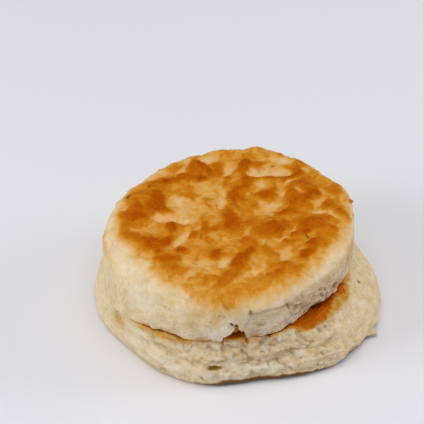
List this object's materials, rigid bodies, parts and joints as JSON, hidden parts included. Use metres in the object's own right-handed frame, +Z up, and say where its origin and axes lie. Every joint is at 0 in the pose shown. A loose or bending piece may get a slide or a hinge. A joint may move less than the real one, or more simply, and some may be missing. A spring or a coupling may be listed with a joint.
{
  "type": "buttermilk biscuit",
  "caption": "Round buttermilk biscuit split level through its middle, its browned upper half set back slightly off centre on the wider lower half.",
  "frame": {"origin": "on the table, under the middle of the box round the whole biscuit", "axes": "+Z up through the browned crust, -Y towards the torn front with the notch in its hem, +X towards the side where the browned ledge stands clear"},
  "size_m": [0.0864, 0.0848, 0.0311],
  "materials": {
    "browned_crust": "matt",
    "cream_crumb": "matt"
  },
  "bodies": {
    "root": {"biscuit_top": "browned_crust", "biscuit_bottom": "cream_crumb"}
  },
  "joints": []
}
